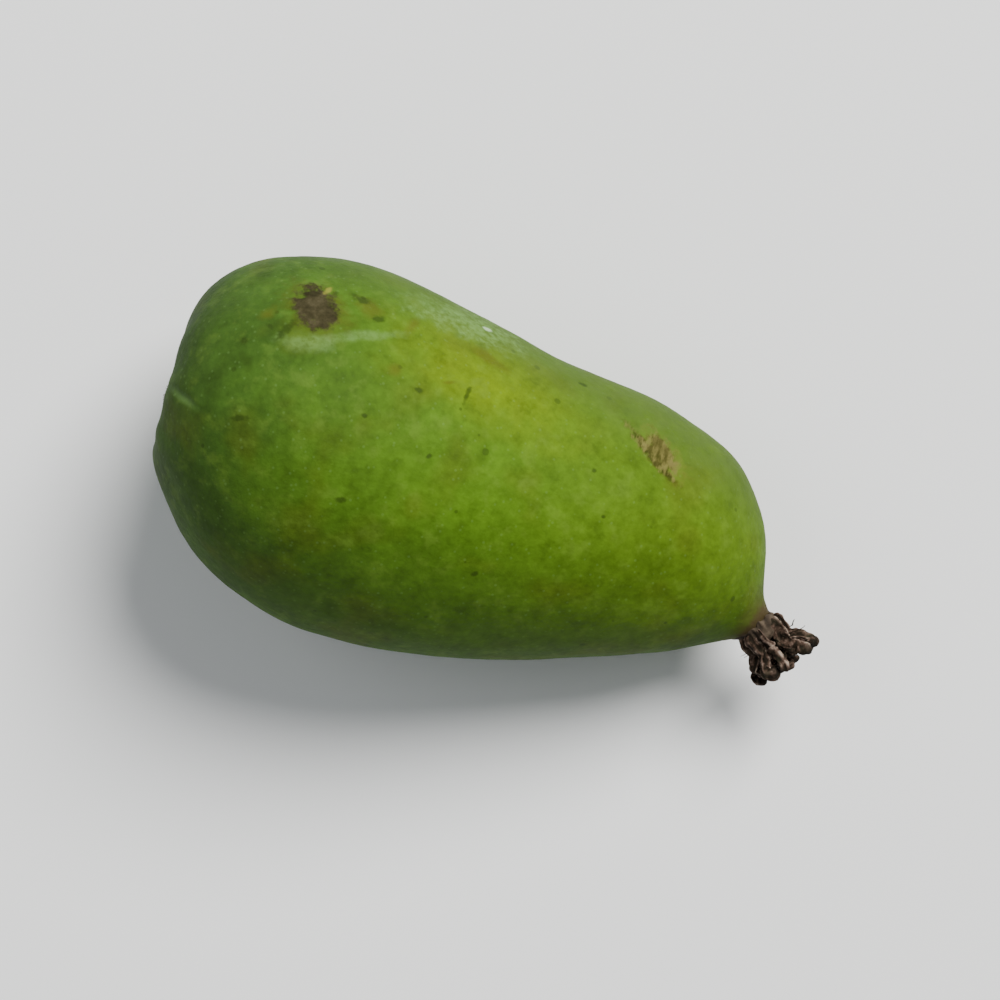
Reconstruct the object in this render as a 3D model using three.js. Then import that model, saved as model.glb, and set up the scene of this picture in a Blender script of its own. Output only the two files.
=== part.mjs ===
// A kiwi berry (Actinidia arguta) as picked, lying on its side on a small flat spot.
// Millimetres, +Z up. The long axis runs along +X, from the stalk end to the beak.
// The berry is one solid. At the beak the flower has left a woody boss with two whorls
// of dried styles; in the hollow at the other end sits the stub of the picked stalk.
import * as THREE from "three";

// ---- driving dimensions -------------------------------------------------------------

const BERRY_THICKNESS = 0.95; // height of the berry's cross-section over its width
const BERRY_RINGS = 58; // cross-sections between the two ends
const BERRY_SIDES = 44; // corners of a cross-section
const RING_CROWDING = 0.055; // how far the cross-sections crowd towards the two ends
const REST_SINK = 0.45; // how deep the resting side is flattened
const LEAN = 0.135; // how far the centre line falls for each millimetre towards the beak
const LEAN_PIVOT = 18; // station along X that the lean leaves at its height
const RIDGE_COUNT = 5; // soft ridges along the berry
const RIDGE_SHARE = 0.009; // their height, as a share of the section's half width
const RIDGE_PHASE = -1.3; // turns them so that the berry rests between two of them

const NECK_TURN = THREE.MathUtils.degToRad(-35); // way the beak points, seen from above
const NECK_DIP = THREE.MathUtils.degToRad(8); // and how far it points down

const BOSS_RADIUS = 1.2;
const BOSS_HEIGHT = 0.7;
const BOSS_GAP = 0.12; // clear space between the beak and the boss
const BOSS_LOBES = 7;
const BOSS_LOBE_SHARE = 0.07; // their depth, as a share of the boss's radius

const OUTER_STYLES = { count: 9, rootRadius: 0.92, thickness: 0.5, length: 2.8, splay: 0.92 };
const INNER_STYLES = { count: 6, rootRadius: 0.4, thickness: 0.34, length: 2.2, splay: 0.2 };
const STYLE_GAP = 0.08; // clear space between a style's root and the boss
const STYLE_RINGS = 9;
const START_BULGE = 0.3; // how far the rounded ends stand out, in radii
const END_BULGE = 0.5;
const STYLE_SIDES = 7;
const STYLE_FLATNESS = 0.7; // a style's thickness over its width
const STYLE_TAPER = 0.45; // how much thinner a style is near its tip
// The most that one style differs from the next: the angle round the axis as a share of the
// pitch, the length as a share of itself, the splay in radians, the curl, and the drift in mm.
const STYLE_VARIETY = { angle: 0.18, length: 0.16, splay: 0.14, curl: 0.35, drift: 0.16 };
const STYLE_CURL = 0.55; // 0 is straight out, 1 bends back in over the tuft

const STUB_RADIUS = 1.15;
const STUB_LENGTH = 1.3;
const STUB_OUT_OF_ROUND = 0.06; // as a share of its radius
const STUB_GAP = 0.42; // from the deepest point of the hollow, clear of its curved wall

// The berry's two side outlines, seen from above: [x, y] on the +Y side and on the -Y side
// at the same station. Each pair of points is the width of one cross-section.
const STATIONS = [
  { name: "hollow floor", left: [1.1, 0.1], right: [1.1, 0.1] },
  { name: "hollow wall", left: [0.35, 1.75], right: [0.45, -1.7] },
  { name: "hollow rim", left: [-0.85, 3.9], right: [-0.45, -3.9] },
  { name: "stalk shoulder", left: [-0.15, 7.3], right: [1.3, -6.9] },
  { name: "cheek", left: [3.2, 10.45], right: [4.7, -10.1] },
  { name: "crown", left: [9.2, 12.0], right: [11.0, -12.2] },
  { name: "belly", left: [16.6, 11.1], right: [18.2, -12.0] },
  { name: "waist", left: [24.2, 9.75], right: [25.4, -10.3] },
  { name: "far waist", left: [31.2, 9.1], right: [31.8, -8.1] },
  { name: "beak shoulder", left: [36.5, 7.15], right: [36.2, -6.2] },
  { name: "beak", left: [39.5, 3.5], right: [38.5, -4.95] },
  { name: "neck base", left: [41.0, -0.9], right: [39.8, -4.3] },
  { name: "neck end", left: [41.75, -2.0], right: [40.65, -3.95] },
  { name: "neck face", left: [41.35, -3.05], right: [41.35, -3.05] },
];

// ---- helpers ------------------------------------------------------------------------

// A closed surface over rings of points that run round +X from +Y to +Z, with a point at
// each end.
function closedLoft(startPole, rings, endPole) {
  const sides = rings[0].length;
  const points = [startPole, ...rings.flat(), endPole];
  const last = points.length - 1;
  const corner = (ring, side) => 1 + ring * sides + (side % sides);
  const faces = [];
  for (let side = 0; side < sides; side++) {
    faces.push(0, corner(0, side + 1), corner(0, side));
    for (let ring = 0; ring + 1 < rings.length; ring++) {
      const [a, b] = [corner(ring, side), corner(ring, side + 1)];
      const [c, d] = [corner(ring + 1, side), corner(ring + 1, side + 1)];
      faces.push(a, b, c, b, d, c);
    }
    faces.push(last, corner(rings.length - 1, side), corner(rings.length - 1, side + 1));
  }
  const geometry = new THREE.BufferGeometry().setFromPoints(points);
  geometry.setIndex(faces);
  geometry.computeVertexNormals();
  return geometry;
}

// A tapering tube along a curve, with rounded ends. radiusAt gives the radius from 0 to 1
// along it, and flatness is the tube's thickness over its width.
function taperedTube(curve, rings, sides, radiusAt, flatness) {
  const { normals, binormals } = curve.computeFrenetFrames(rings - 1, false);
  const made = [];
  for (let ring = 0; ring < rings; ring++) {
    const along = ring / (rings - 1);
    const centre = curve.getPointAt(along);
    const radius = radiusAt(along);
    const around = [];
    for (let side = 0; side < sides; side++) {
      const angle = (side / sides) * 2 * Math.PI;
      around.push(
        centre
          .clone()
          .addScaledVector(normals[ring], radius * Math.cos(angle))
          .addScaledVector(binormals[ring], radius * flatness * Math.sin(angle)),
      );
    }
    made.push(around);
  }
  const cap = (along, bulge) =>
    curve.getPointAt(along).addScaledVector(curve.getTangentAt(along), bulge * radiusAt(along));
  const start = cap(0, -START_BULGE);
  const end = cap(1, END_BULGE);
  return closedLoft(start, made, end);
}

// A repeatable number from -1 to 1 for a piece's own small differences.
function variation(index, kind) {
  const wave = Math.sin(index * 12.9898 + kind * 78.233) * 43758.5453;
  return 2 * (wave - Math.floor(wave)) - 1;
}

function material(name, colour, roughness) {
  return new THREE.MeshStandardMaterial({ name, color: colour, roughness, metalness: 0 });
}

function piece(name, geometry, look) {
  const mesh = new THREE.Mesh(geometry, look);
  mesh.name = name;
  return mesh;
}

// ---- materials ----------------------------------------------------------------------

const skin = material("skin", 0x6b8a24, 0.5);
const cork = material("cork", 0x6a5238, 0.9);
const driedStyle = material("dried_style", 0x54402f, 0.9);

// ---- berry --------------------------------------------------------------------------

const outline = (side) =>
  new THREE.CatmullRomCurve3(
    STATIONS.map((station) => new THREE.Vector3(...station[side], 0)),
    false,
    "centripetal",
  );
const leftOutline = outline("left");
const rightOutline = outline("right");

const centreHeight = (x) => -LEAN * (x - LEAN_PIVOT);

// The cross-section a share u of the way from the hollow's floor to the neck's face.
function berryRing(u) {
  const left = leftOutline.getPoint(u);
  const right = rightOutline.getPoint(u);
  const centre = left.clone().add(right).multiplyScalar(0.5);
  const half = left.clone().sub(right).multiplyScalar(0.5);
  const height = BERRY_THICKNESS * half.length();
  const ridgeShare = RIDGE_SHARE * Math.sin(Math.PI * u);
  const around = [];
  for (let side = 0; side < BERRY_SIDES; side++) {
    const angle = (side / BERRY_SIDES) * 2 * Math.PI;
    const swell = 1 + ridgeShare * Math.cos(RIDGE_COUNT * angle + RIDGE_PHASE);
    const point = centre.clone().addScaledVector(half, swell * Math.cos(angle));
    point.z = centreHeight(point.x) + height * swell * Math.sin(angle);
    around.push(point);
  }
  return around;
}

function berryPole(curve, u) {
  const point = curve.getPoint(u);
  point.z = centreHeight(point.x);
  return point;
}

// Flattens everything lower than the resting plane onto it, and returns the plane's height.
function flattenUnderside(rings) {
  const lowest = Math.min(...rings.flat().map((point) => point.z));
  const plane = lowest + REST_SINK;
  for (const point of rings.flat()) {
    point.z = Math.max(point.z, plane);
  }
  return plane;
}

// Stations lie closer together at the two ends, where the outline turns fastest.
const berryRings = Array.from({ length: BERRY_RINGS }, (_, ring) => {
  const share = (ring + 1) / (BERRY_RINGS + 1);
  return berryRing(share - RING_CROWDING * Math.sin(2 * Math.PI * share));
});
const restingPlane = flattenUnderside(berryRings);
const berry = piece(
  "berry",
  closedLoft(berryPole(leftOutline, 0), berryRings, berryPole(leftOutline, 1)),
  skin,
);

// ---- dried flower at the beak -------------------------------------------------------

// In the tuft's own frame +X leads away from the beak, and the boss stands on x = 0.

// A low, lobed dome.
function bossGeometry() {
  const profile = [
    [0, 0.86],
    [0.25, 1],
    [0.6, 0.93],
    [0.85, 0.7],
    [0.97, 0.4],
  ];
  const sides = 4 * BOSS_LOBES;
  const rings = profile.map(([height, width]) =>
    Array.from({ length: sides }, (_, side) => {
      const angle = (side / sides) * 2 * Math.PI;
      const lobe = 1 + BOSS_LOBE_SHARE * Math.cos(BOSS_LOBES * angle);
      const radius = BOSS_RADIUS * width * lobe;
      return new THREE.Vector3(
        BOSS_HEIGHT * height,
        radius * Math.cos(angle),
        radius * Math.sin(angle),
      );
    }),
  );
  return closedLoft(new THREE.Vector3(), rings, new THREE.Vector3(BOSS_HEIGHT, 0, 0));
}

// One style: it leaves the boss at its own angle round the axis, splays outwards, and curls
// back in towards its swollen tip.
function styleGeometry(whorl, index, kind) {
  const vary = (what, seed) => STYLE_VARIETY[what] * variation(index, kind + seed);
  const around = ((index + vary("angle", 0)) / whorl.count) * 2 * Math.PI + kind;
  const length = whorl.length * (1 + vary("length", 1));
  const splay = whorl.splay + vary("splay", 2);
  const curl = STYLE_CURL + vary("curl", 3);
  const outwards = new THREE.Vector3(0, Math.cos(around), Math.sin(around));
  const sideways = new THREE.Vector3(0, -Math.sin(around), Math.cos(around));
  const at = (along, out, across) =>
    new THREE.Vector3(along, 0, 0)
      .addScaledVector(outwards, out)
      .addScaledVector(sideways, across);
  const root = BOSS_HEIGHT + STYLE_GAP + 0.5 * whorl.thickness * Math.sin(whorl.splay);
  const reach = length * Math.sin(splay);
  const rise = length * Math.cos(splay);
  const drift = vary("drift", 4);
  const curve = new THREE.CatmullRomCurve3([
    at(root, whorl.rootRadius, 0),
    at(root + 0.34 * rise, whorl.rootRadius + 0.26 * reach, 0),
    at(root + 0.8 * rise, whorl.rootRadius + 0.52 * reach, 0.5 * drift),
    at(root + (1 + 0.3 * curl) * rise, whorl.rootRadius + (0.62 - 0.3 * curl) * reach, drift),
  ]);
  const radiusAt = (along) =>
    0.5 * whorl.thickness * (1 - STYLE_TAPER * Math.sin(Math.PI * along) * along);
  return taperedTube(curve, STYLE_RINGS, STYLE_SIDES, radiusAt, STYLE_FLATNESS);
}

const tuft = new THREE.Group();
tuft.add(piece("style_boss", bossGeometry(), cork));
for (let index = 0; index < OUTER_STYLES.count; index++) {
  const name = `outer_style_${String(index + 1).padStart(2, "0")}`;
  tuft.add(piece(name, styleGeometry(OUTER_STYLES, index, 1), driedStyle));
}
for (let index = 0; index < INNER_STYLES.count; index++) {
  const name = `inner_style_${String(index + 1).padStart(2, "0")}`;
  tuft.add(piece(name, styleGeometry(INNER_STYLES, index, 9), driedStyle));
}

const away = new THREE.Vector3(
  Math.cos(NECK_TURN) * Math.cos(NECK_DIP),
  Math.sin(NECK_TURN) * Math.cos(NECK_DIP),
  -Math.sin(NECK_DIP),
);
tuft.quaternion.setFromUnitVectors(new THREE.Vector3(1, 0, 0), away);
tuft.position.copy(berryPole(leftOutline, 1)).addScaledVector(away, BOSS_GAP);

// ---- stub of the picked stalk -------------------------------------------------------

// Its own frame has +X from the berry's hollow to the broken end.
function stubGeometry() {
  const profile = [
    [0, 0.82],
    [0.18, 1],
    [0.55, 0.78],
    [0.85, 0.8],
    [1, 0.66],
  ];
  const sides = 20;
  const rings = profile.map(([height, width], level) =>
    Array.from({ length: sides }, (_, side) => {
      const angle = (side / sides) * 2 * Math.PI;
      const radius = STUB_RADIUS * width * (1 + STUB_OUT_OF_ROUND * Math.sin(3 * angle + level));
      return new THREE.Vector3(
        STUB_LENGTH * height,
        radius * Math.cos(angle),
        radius * Math.sin(angle),
      );
    }),
  );
  return closedLoft(new THREE.Vector3(), rings, new THREE.Vector3(0.93 * STUB_LENGTH, 0, 0));
}

const stub = piece("stalk_stub", stubGeometry(), cork);
const hollowFloor = berryPole(leftOutline, 0);
stub.rotation.z = Math.PI;
stub.position.set(hollowFloor.x - STUB_GAP, hollowFloor.y, hollowFloor.z);

// ---- the whole part: resting plane on z = 0, centred over the origin ----------------

const laid = new THREE.Group();
laid.add(berry, tuft, stub);
laid.updateMatrixWorld(true);
const middle = new THREE.Box3().setFromObject(laid, true).getCenter(new THREE.Vector3());
laid.position.set(-middle.x, -middle.y, -restingPlane);

const part = new THREE.Group();
part.add(laid);

export default part;
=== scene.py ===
# A kiwi berry lying on its side. Smooth green skin with a scab, a wedge of rub marks and two
# strokes of wiped wax; a crumpled tuft of dried styles on the beak; in the hollow at the other
# end, the broken stub of its stalk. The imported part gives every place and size. Lengths are in
# millimetres up to the last step, where MM turns them into the frame's metres.
import math

import bmesh
import bpy
import numpy as np
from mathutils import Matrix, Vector, noise
from mathutils.bvhtree import BVHTree


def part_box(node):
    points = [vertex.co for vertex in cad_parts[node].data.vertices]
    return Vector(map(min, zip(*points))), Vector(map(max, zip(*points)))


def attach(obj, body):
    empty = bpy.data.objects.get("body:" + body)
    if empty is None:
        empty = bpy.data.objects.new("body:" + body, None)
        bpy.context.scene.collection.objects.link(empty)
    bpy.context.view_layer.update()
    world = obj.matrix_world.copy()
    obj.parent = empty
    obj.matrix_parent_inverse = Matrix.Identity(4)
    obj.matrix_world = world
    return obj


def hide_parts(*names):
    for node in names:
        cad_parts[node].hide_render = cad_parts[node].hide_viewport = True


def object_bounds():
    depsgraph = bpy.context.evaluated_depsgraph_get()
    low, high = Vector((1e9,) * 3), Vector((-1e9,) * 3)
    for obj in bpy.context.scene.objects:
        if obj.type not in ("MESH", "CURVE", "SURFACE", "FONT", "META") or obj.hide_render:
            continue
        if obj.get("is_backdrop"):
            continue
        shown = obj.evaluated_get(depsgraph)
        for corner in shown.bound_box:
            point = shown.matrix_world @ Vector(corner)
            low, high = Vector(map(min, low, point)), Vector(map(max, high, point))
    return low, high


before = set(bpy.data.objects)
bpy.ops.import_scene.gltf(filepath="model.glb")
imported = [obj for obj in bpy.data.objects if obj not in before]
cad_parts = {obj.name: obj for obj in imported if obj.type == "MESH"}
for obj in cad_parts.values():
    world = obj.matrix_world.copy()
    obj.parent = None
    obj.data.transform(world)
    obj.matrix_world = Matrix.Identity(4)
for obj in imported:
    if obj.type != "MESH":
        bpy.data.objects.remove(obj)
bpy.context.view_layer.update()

MM = 0.001
WELD = 1e-6  # metres: corners closer than this are one corner
BODY = "root"

# ---- places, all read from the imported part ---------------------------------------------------


def box_mm(node):
    """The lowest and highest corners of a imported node, in millimetres."""
    return [np.array(corner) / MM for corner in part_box(node)]


def middle(node):
    return sum(box_mm(node)) / 2


def unit(vector):
    return np.asarray(vector, float) / np.linalg.norm(vector)


STYLE_NODES = sorted(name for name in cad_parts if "_style_" in name)
BERRY_LOW, BERRY_HIGH = box_mm("berry")
BERRY_SIZE = BERRY_HIGH - BERRY_LOW
BOSS = middle("style_boss")
STUB = middle("stalk_stub")
TUFT_WAY = unit(sum(middle(name) for name in STYLE_NODES) / len(STYLE_NODES) - BOSS)
STUB_WAY = np.array([-1.0, 0.0, 0.0])
LEAN = (STUB[2] - BOSS[2]) / (BOSS[0] - STUB[0])  # fall of the core for each mm along X


def on_skin(along, across):
    """A place on the skin seen from above: along is 0 at the stalk end and 1 at the beak, and
    across is -1 and 1 at the two sides."""
    return (
        BERRY_LOW[0] + along * BERRY_SIZE[0],
        (BERRY_LOW[1] + BERRY_HIGH[1]) / 2 + across * BERRY_SIZE[1] / 2,
    )


# ---- nodes -----------------------------------------------------------------------------------


def linear(code):
    """A colour written as six hex digits, as the renderer's own linear numbers."""
    parts = [int(code[start : start + 2], 16) / 255 for start in (0, 2, 4)]
    return (*[part / 12.92 if part <= 0.04045 else ((part + 0.055) / 1.055) ** 2.4 for part in parts], 1.0)


TEAR_SIZES = (0.5, 1.1, 3.5)  # millimetres
FINE_TEAR, TEAR, BROAD_TEAR = TEAR_SIZES


class Graph:
    """Adds nodes to a material's tree or to a geometry tree. Each method gives back the output
    of the node that it adds. A value is a number, a tuple or another node's output."""

    def __init__(self, tree):
        self.tree = tree

    def feed(self, socket, value):
        if isinstance(value, bpy.types.NodeSocket):
            self.tree.links.new(value, socket)
        else:
            socket.default_value = value

    def node(self, kind, inputs=None, output=0, **settings):
        made = self.tree.nodes.new(kind)
        for name, value in settings.items():
            setattr(made, name, value)
        for key, value in (inputs or {}).items():
            self.feed(made.inputs[key], value)
        return made.outputs[output]

    def math(self, operation, *values):
        return self.node("ShaderNodeMath", dict(enumerate(values)), operation=operation)

    def add(self, *values):
        total = values[0]
        for value in values[1:]:
            total = self.math("ADD", total, value)
        return total

    def times(self, *values):
        total = values[0]
        for value in values[1:]:
            total = self.math("MULTIPLY", total, value)
        return total

    def most(self, *values):
        total = values[0]
        for value in values[1:]:
            total = self.math("MAXIMUM", total, value)
        return total

    def vector(self, operation, *values, output=0):
        return self.node("ShaderNodeVectorMath", dict(enumerate(values)), output, operation=operation)

    def parts(self, vector):
        made = self.tree.nodes.new("ShaderNodeSeparateXYZ")
        self.feed(made.inputs[0], vector)
        return made.outputs[0], made.outputs[1], made.outputs[2]

    def step(self, value, low, high):
        """0 up to low, 1 from high, and smooth between them. low may be the larger one."""
        ends = {"Value": value, "From Min": low, "From Max": high}
        return self.node("ShaderNodeMapRange", ends, interpolation_type="SMOOTHSTEP")

    def scale(self, value, low, high):
        """value from 0 to 1 as a number from low to high."""
        return self.node("ShaderNodeMapRange", {"Value": value, "To Min": low, "To Max": high})

    def noise(self, where, size, detail=2.0, rough=0.5, shift=0.0):
        """Soft noise from 0 to 1, with lumps about size across."""
        if shift:
            where = self.vector("ADD", where, (shift, 2 * shift, -shift))
        look = {"Vector": where, "Scale": 1 / size, "Detail": detail, "Roughness": rough}
        return self.node("ShaderNodeTexNoise", look)

    def cells(self, where, size, output=0):
        """The distance to the nearest of a scatter of points, or with output 1 a colour for each."""
        return self.node("ShaderNodeTexVoronoi", {"Vector": where, "Scale": 1 / size}, output)

    def mix(self, share, first, second):
        """The colour first at share 0 and second at share 1."""
        return self.node("ShaderNodeMix", {0: share, 6: first, 7: second}, 2, data_type="RGBA")

    def stretch(self, vector, factor):
        """A vector or a colour times a number."""
        return self.node("ShaderNodeVectorMath", {0: vector, "Scale": factor}, operation="SCALE")

    def ramp(self, value, *stops):
        """A colour that runs through stops, each a place from 0 to 1 and a colour."""
        made = self.tree.nodes.new("ShaderNodeValToRGB")
        elements = made.color_ramp.elements
        while len(elements) < len(stops):
            elements.new(0.5)
        for element, (place, colour) in zip(elements, stops):
            element.position, element.color = place, colour
        self.feed(made.inputs[0], value)
        return made.outputs[0]

    def tears(self, where):
        """Noise from -1 to 1 at three sizes, which makes the edges of patches ragged."""
        return {size: self.scale(self.noise(where, size, 3.0, 0.6), -1.0, 1.0) for size in TEAR_SIZES}

    def patch(self, where, tear, place, half_size, turn=0.0, ragged=0.4, soft=0.3):
        """1 inside a ragged patch seen from above, 0 outside. half_size is along the turned
        axis and across it, turn is in degrees, and tear is the noise that frays its edge."""
        x, y, _ = self.parts(self.vector("SUBTRACT", where, (*place, 0.0)))
        cosine, sine = math.cos(math.radians(turn)), math.sin(math.radians(turn))
        along = self.add(self.times(x, cosine / half_size[0]), self.times(y, sine / half_size[0]))
        across = self.add(self.times(x, -sine / half_size[1]), self.times(y, cosine / half_size[1]))
        reach = self.math("SQRT", self.add(self.times(along, along), self.times(across, across)))
        return self.step(self.add(reach, self.times(tear, ragged)), 1.0, 1.0 - soft)


def new_material(name):
    """A material with its graph and its one surface shader."""
    made = bpy.data.materials.new(name)
    made.use_nodes = True
    return made, Graph(made.node_tree), made.node_tree.nodes["Principled BSDF"]


def set_constants(shader, **values):
    for name, value in values.items():
        shader.inputs[name.replace("_", " ").title().replace("Ior", "IOR")].default_value = value


def object_mm(graph):
    """The point being shaded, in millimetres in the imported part's frame."""
    return graph.stretch(graph.node("ShaderNodeTexCoord", output="Object"), 1 / MM)


def finish_surface(graph, shader, colour, rough, height, depth):
    """Joins colour, roughness and a fine relief, depth millimetres deep, to the shader."""
    graph.feed(shader.inputs["Base Color"], colour)
    graph.feed(shader.inputs["Roughness"], rough)
    bump = {"Height": height, "Distance": depth * MM, "Strength": 1.0}
    graph.feed(shader.inputs["Normal"], graph.node("ShaderNodeBump", bump))


# ---- marks on the skin, for its relief and for its colour alike ---------------------------------

SCAB = on_skin(0.188, 0.665)
SCAB_TURN = -30
FLECK = on_skin(0.197, 0.777)
# Strokes of wiped wax: place, half length, half width, turn in degrees.
STREAKS = [
    (on_skin(0.19, 0.475), 2.2, 0.8, 12),
    (on_skin(0.262, 0.59), 3.6, 0.48, 22),
]
RUB = on_skin(0.744, 0.474)
RUB_TURN = -33
RUB_LOBE = on_skin(0.757, 0.5)
RUB_RIDGE_TURN = RUB_TURN + 36
RUB_RIDGE_SPACING = 0.5
RUB_RIDGE_LENGTH = 1.1
SCUFFS = on_skin(0.41, 0.84)
SCUFF_GLINT = on_skin(0.444, 0.85)
LIME = on_skin(0.47, 0.57)
CREASE_AND_REFLECTION = on_skin(0.038, 0.0)
# Olive stains and dark blots: place, half length, half width, turn in degrees.
STAINS = [
    (on_skin(0.335, 0.735), 0.8, 0.55, 70),
    (on_skin(0.331, 0.48), 0.75, 0.6, 0),
    (on_skin(0.459, 0.70), 2.4, 0.5, -18),
    (on_skin(0.265, 0.75), 1.3, 0.8, -10),
    (on_skin(0.122, 0.56), 0.9, 0.5, 40),
    (on_skin(0.414, 0.506), 0.75, 0.2, 20),
    (on_skin(0.79, 0.37), 0.5, 0.45, 0),
]
BLOTS = [
    (on_skin(0.314, -0.26), 0.45, 0.26, 12),
    (on_skin(0.133, -0.012), 0.8, 0.28, 18),
    (on_skin(0.132, 0.498), 0.32, 0.26, 0),
    (on_skin(0.101, 0.384), 0.42, 0.3, 0),
    (on_skin(0.610, 0.725), 0.42, 0.15, -8),
    (on_skin(0.665, 0.30), 0.22, 0.2, 0),
    (on_skin(0.70, 0.08), 0.2, 0.18, 0),
    (on_skin(0.54, -0.42), 0.35, 0.22, 30),
    (on_skin(0.158, 0.52), 1.3, 0.4, 60),
    (on_skin(0.206, 0.753), 0.75, 0.28, 60),
    (on_skin(0.25, 0.785), 0.95, 0.3, -5),
    (on_skin(0.284, 0.713), 0.6, 0.35, 20),
    (on_skin(0.446, 0.473), 0.8, 0.22, 86),
    (on_skin(0.375, 0.419), 0.36, 0.28, 0),
    (on_skin(0.42, 0.1), 0.3, 0.2, 50),
    (on_skin(0.31, 0.2), 0.26, 0.2, 0),
]
# The same kinds of mark on the side that the berry lies on.
UNDER_SCAB = on_skin(0.62, 0.34)
UNDER_RUB = on_skin(0.30, -0.40)


def side(graph, where, upper):
    """1 on the upper half of the berry, or on the lower half, and 0 on the other."""
    x, _, z = graph.parts(where)
    above = graph.add(z, graph.times(x, LEAN), -(STUB[2] + LEAN * STUB[0]))
    return graph.step(above, -0.5, 1.5) if upper else graph.step(above, 0.5, -1.5)


def about_stub(graph, where):
    """Distance from the hollow's axis, and the turn round it in radians."""
    _, y, z = graph.parts(graph.vector("SUBTRACT", where, tuple(STUB)))
    out = graph.math("SQRT", graph.add(graph.times(y, y), graph.times(z, z)))
    return out, graph.math("ARCTAN2", z, y)


def skin_marks(graph, where, tear):
    """How strongly each mark shows at a point, from 0 to 1."""
    top = side(graph, where, True)
    under = side(graph, where, False)
    fine, medium = tear[FINE_TEAR], tear[TEAR]

    def spot(place, half_size, turn, frayed, ragged, soft):
        return graph.patch(where, frayed, place, half_size, turn, ragged, soft)

    marks = {"top": top}
    scab = spot(SCAB, (1.95, 1.5), SCAB_TURN, graph.add(graph.times(medium, 0.6), fine), 0.5, 0.4)
    under_scab = spot(UNDER_SCAB, (1.3, 1.0), 20, medium, 0.6, 0.25)
    marks["scab"] = graph.most(graph.times(scab, top), graph.times(under_scab, under))
    halo = spot(SCAB, (3.1, 2.0), SCAB_TURN + 20, medium, 0.6, 0.7)
    under_halo = spot(UNDER_SCAB, (2.1, 1.7), 20, medium, 0.5, 0.6)
    marks["halo"] = graph.most(graph.times(halo, top), graph.times(under_halo, under))
    row = spot(RUB, (3.4, 0.5), RUB_TURN, fine, 0.5, 0.6)
    lobe = spot(RUB_LOBE, (2.1, 0.98), RUB_TURN - 6, fine, 0.5, 0.6)
    under_row = spot(UNDER_RUB, (3.0, 0.5), 25, fine, 0.6, 0.5)
    marks["rub"] = graph.most(graph.times(graph.most(row, lobe), top), graph.times(under_row, under))
    marks["rub_halo"] = graph.times(spot(RUB_LOBE, (2.9, 1.3), RUB_TURN, fine, 0.6, 0.8), top)
    # A shallow crease at the stalk end, which also carries a painted reflection.
    marks["crease"] = graph.times(spot(CREASE_AND_REFLECTION, (1.7, 0.42), -19, medium, 0.3, 1.0), top)
    return marks


def rub_ridges(graph, where):
    """Short ridges that lie across the row of rub marks: 1 on a ridge, 0 between."""
    x, y, _ = graph.parts(where)
    cosine, sine = math.cos(math.radians(RUB_RIDGE_TURN)), math.sin(math.radians(RUB_RIDGE_TURN))
    along = graph.add(
        graph.times(x, cosine / RUB_RIDGE_SPACING), graph.times(y, sine / RUB_RIDGE_SPACING)
    )
    across = graph.add(
        graph.times(x, -sine / RUB_RIDGE_LENGTH), graph.times(y, cosine / RUB_RIDGE_LENGTH)
    )
    stretched = graph.node("ShaderNodeCombineXYZ", {"X": along, "Y": across})
    return graph.step(graph.noise(stretched, 1.0, 3.0, 0.65, 3.0), 0.4, 0.62)


# ---- the skin's relief ------------------------------------------------------------------------

PUCKERS = 9
SKIN_RELIEF = {  # heights in millimetres
    "Swell Height": 0.2,
    "Dimple Height": 0.06,
    "Grain Height": 0.014,
    "Pucker Depth": 0.045,
    "Crease Depth": 0.12,
    "Scab Height": 0.16,
    "Rub Height": 0.1,
    "Neck Wrinkle Depth": 0.08,
}


def geometry_tree(name, sizes):
    """An empty geometry tree with a mesh in, a mesh out and one named input for each size."""
    tree = bpy.data.node_groups.new(name, "GeometryNodeTree")
    tree.interface.new_socket("Geometry", in_out="INPUT", socket_type="NodeSocketGeometry")
    tree.interface.new_socket("Geometry", in_out="OUTPUT", socket_type="NodeSocketGeometry")
    for label in sizes:
        kind = "NodeSocketInt" if isinstance(sizes[label], int) else "NodeSocketFloat"
        tree.interface.new_socket(label, in_out="INPUT", socket_type=kind)
    given = tree.nodes.new("NodeGroupInput").outputs
    return tree, Graph(tree), given


def run_tree(thing, tree, sizes):
    """Runs a geometry tree on a thing with these sizes, and keeps the plain mesh it gives."""
    modifier = thing.modifiers.new(tree.name, "NODES")
    modifier.node_group = tree
    for item in tree.interface.items_tree:
        if item.in_out == "INPUT" and item.name in sizes:
            modifier[item.identifier] = sizes[item.name]
    depsgraph = bpy.context.evaluated_depsgraph_get()
    mesh = bpy.data.meshes.new_from_object(thing.evaluated_get(depsgraph))
    thing.modifiers.remove(modifier)
    thing.data = mesh
    return thing


def end_tree(graph, mesh, material):
    """Ends a geometry tree: instances made real, shaded smooth, in their material."""
    mesh = graph.node("GeometryNodeRealizeInstances", {0: mesh})
    mesh = graph.node("GeometryNodeSetShadeSmooth", {0: mesh})
    mesh = graph.node("GeometryNodeSetMaterial", {0: mesh, "Material": material})
    graph.feed(graph.tree.nodes.new("NodeGroupOutput").inputs[0], mesh)


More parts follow.
